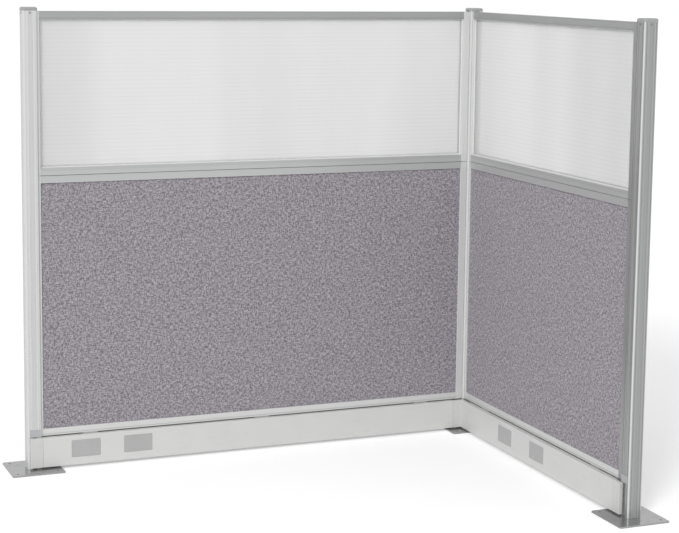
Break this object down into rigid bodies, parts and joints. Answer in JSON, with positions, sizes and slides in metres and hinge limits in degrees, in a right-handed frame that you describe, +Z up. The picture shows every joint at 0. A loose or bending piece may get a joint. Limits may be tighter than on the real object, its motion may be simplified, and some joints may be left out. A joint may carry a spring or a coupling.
{
  "type": "cubicle workstation",
  "caption": "L-shaped office cubicle of framed fabric and translucent wall panels between slotted posts, with a covered wiring raceway along the floor",
  "frame": {"origin": "on the floor, at the centre of the whole footprint", "axes": "+Z up; the long wall runs along X at the +Y side, the short wall along Y at the +X side, the room is on the -X, -Y side of their corner"},
  "size_m": [2.064, 1.534, 1.778],
  "materials": {
    "frame_aluminium": "satin anodised",
    "cap_plastic": "fine moulded grain",
    "base_steel": "bright plate, fine brushed",
    "strip_plastic": "satin extruded",
    "screw_steel": "zinc plated",
    "window_sheet": "translucent, fluted",
    "gasket_rubber": "matt, pale grey",
    "core_board": "raw board",
    "tweed_fabric": "woven tweed",
    "channel_aluminium": "mill finish",
    "connector_aluminium": "mill finish",
    "cover_aluminium": "satin paint",
    "outlet_plastic": "fine moulded grain",
    "trim_plastic": "satin moulded"
  },
  "bodies": {
    "walls": {"base_plate_screws": "screw_steel", "cap_screws": "screw_steel", "corner_base_plate": "base_steel", "corner_filler_strips": "strip_plastic", "corner_inner_cover": "trim_plastic", "corner_outer_cover": "trim_plastic", "corner_post": "frame_aluminium", "corner_post_cap": "cap_plastic", "frame_connectors": "connector_aluminium", "frame_screws": "screw_steel", "left_base_plate": "base_steel", "left_filler_strips": "strip_plastic", "left_inner_end_cover": "trim_plastic", "left_outer_end_cover": "trim_plastic", "left_post": "frame_aluminium", "left_post_cap": "cap_plastic", "long_wall_inner_fabric_panel": "tweed_fabric", "long_wall_outer_fabric_panel": "tweed_fabric", "long_wall_panel_bottom_rail": "frame_aluminium", "long_wall_panel_core": "core_board", "long_wall_panel_slim_stile": "frame_aluminium", "long_wall_panel_top_rail": "frame_aluminium", "long_wall_panel_wide_stile": "frame_aluminium", "long_wall_raceway_channel": "channel_aluminium", "long_wall_window_bottom_rail": "frame_aluminium", "long_wall_window_gaskets": "gasket_rubber", "long_wall_window_pane": "window_sheet", "long_wall_window_slim_stile": "frame_aluminium", "long_wall_window_top_rail": "frame_aluminium", "long_wall_window_wide_stile": "frame_aluminium", "raceway_hanger_bolts": "screw_steel", "raceway_hangers": "connector_aluminium", "right_base_plate": "base_steel", "right_filler_strips": "strip_plastic", "right_inner_end_cover": "trim_plastic", "right_outer_end_cover": "trim_plastic", "right_post": "frame_aluminium", "right_post_cap": "cap_plastic", "short_wall_inner_fabric_panel": "tweed_fabric", "short_wall_outer_fabric_panel": "tweed_fabric", "short_wall_panel_bottom_rail": "frame_aluminium", "short_wall_panel_core": "core_board", "short_wall_panel_slim_stile": "frame_aluminium", "short_wall_panel_top_rail": "frame_aluminium", "short_wall_panel_wide_stile": "frame_aluminium", "short_wall_raceway_channel": "channel_aluminium", "short_wall_window_bottom_rail": "frame_aluminium", "short_wall_window_gaskets": "gasket_rubber", "short_wall_window_pane": "window_sheet", "short_wall_window_slim_stile": "frame_aluminium", "short_wall_window_top_rail": "frame_aluminium", "short_wall_window_wide_stile": "frame_aluminium"},
    "long_inner_cover": {"long_wall_inner_raceway_cover": "cover_aluminium"},
    "long_outer_cover": {"long_wall_outer_raceway_cover": "cover_aluminium"},
    "short_inner_cover": {"short_wall_inner_raceway_cover": "cover_aluminium"},
    "short_outer_cover": {"short_wall_outer_raceway_cover": "cover_aluminium"},
    "long_blank_1": {"long_wall_outlet_blank_1": "outlet_plastic"},
    "long_blank_2": {"long_wall_outlet_blank_2": "outlet_plastic"},
    "short_blank_1": {"short_wall_outlet_blank_1": "outlet_plastic"},
    "short_blank_2": {"short_wall_outlet_blank_2": "outlet_plastic"}
  },
  "joints": [
    {"name": "long_inner_cover_tilt", "type": "hinge", "parent": "walls", "child": "long_inner_cover", "pos_m": [0, 0.6294, 0.0175], "axis": [1, 0, 0], "range_deg": [0, 25]},
    {"name": "long_outer_cover_tilt", "type": "hinge", "parent": "walls", "child": "long_outer_cover", "pos_m": [0, 0.7006, 0.0175], "axis": [-1, 0, 0], "range_deg": [0, 25]},
    {"name": "short_inner_cover_tilt", "type": "hinge", "parent": "walls", "child": "short_inner_cover", "pos_m": [0.8944, 0, 0.0175], "axis": [0, -1, 0], "range_deg": [0, 25]},
    {"name": "short_outer_cover_tilt", "type": "hinge", "parent": "walls", "child": "short_outer_cover", "pos_m": [0.9656, 0, 0.0175], "axis": [0, 1, 0], "range_deg": [0, 25]},
    {"name": "long_blank_1_pull", "type": "slide", "parent": "long_inner_cover", "child": "long_blank_1", "axis": [0, -1, 0], "range_m": [0, 0.01]},
    {"name": "long_blank_2_pull", "type": "slide", "parent": "long_inner_cover", "child": "long_blank_2", "axis": [0, -1, 0], "range_m": [0, 0.01]},
    {"name": "short_blank_1_pull", "type": "slide", "parent": "short_inner_cover", "child": "short_blank_1", "axis": [-1, 0, 0], "range_m": [0, 0.01]},
    {"name": "short_blank_2_pull", "type": "slide", "parent": "short_inner_cover", "child": "short_blank_2", "axis": [-1, 0, 0], "range_m": [0, 0.01]}
  ]
}
